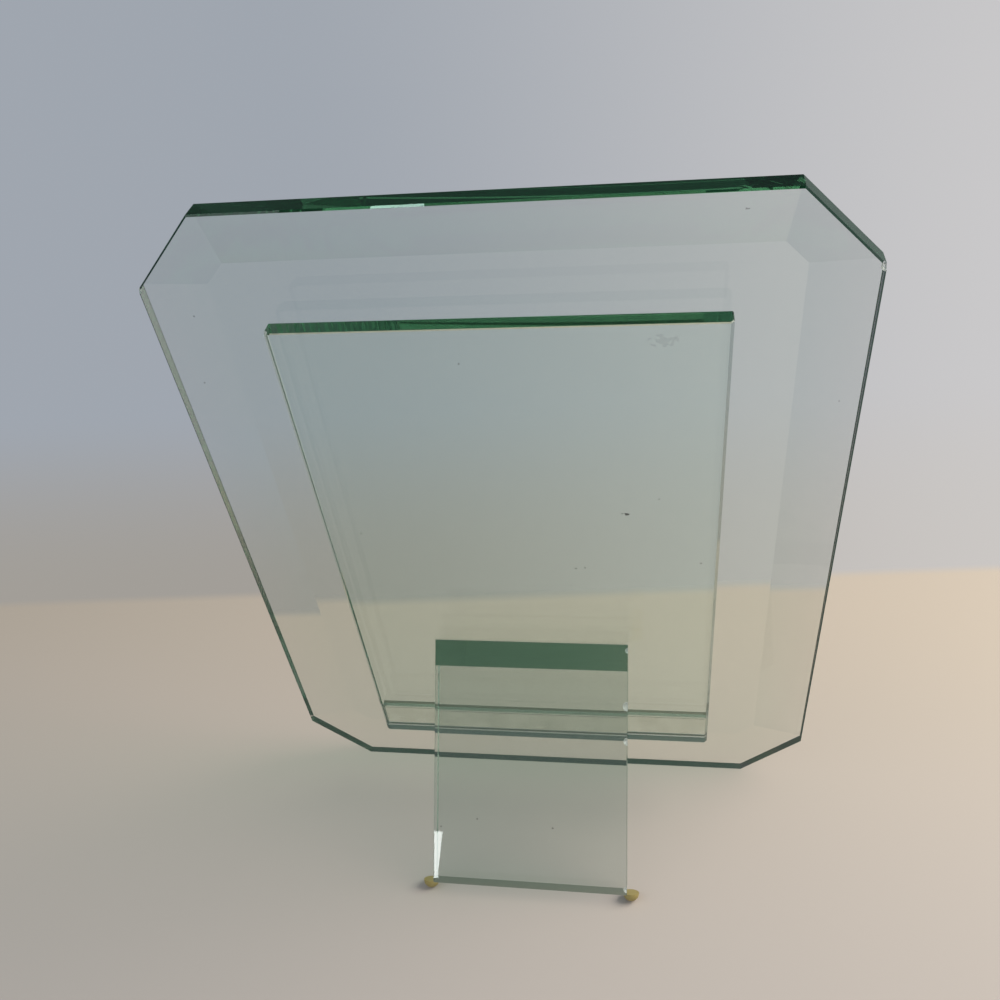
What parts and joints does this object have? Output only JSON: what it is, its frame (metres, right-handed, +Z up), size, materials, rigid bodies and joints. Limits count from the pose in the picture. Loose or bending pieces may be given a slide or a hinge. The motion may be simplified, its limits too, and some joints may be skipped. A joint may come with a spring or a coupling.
{
  "type": "floating glass picture frame",
  "caption": "Tabletop picture frame of clear glass: a bevelled clipped-corner plate, a smaller plate bonded behind it to hold a print, and a sloping glass easel leg on soft bumpers.",
  "frame": {"origin": "on the table plane, under the middle of the bounding box", "axes": "+Z up from the table, -Y out of the display side, +Y towards the easel leg, +X to the right as seen from the display side"},
  "size_m": [0.2032, 0.085, 0.2436],
  "materials": {
    "front_glass": "polished",
    "rear_glass": "polished",
    "spacer_glass": "polished",
    "leg_glass": "polished",
    "adhesive": "clear film",
    "bumper": "soft, yellowed"
  },
  "bodies": {
    "root": {"front_glass": "front_glass", "rear_glass": "rear_glass", "spacer_strip": "spacer_glass", "easel_leg": "leg_glass", "bond_spacer_front": "adhesive", "bond_spacer_rear": "adhesive", "bond_leg": "adhesive", "bumper_left": "bumper", "bumper_right": "bumper"}
  },
  "joints": []
}
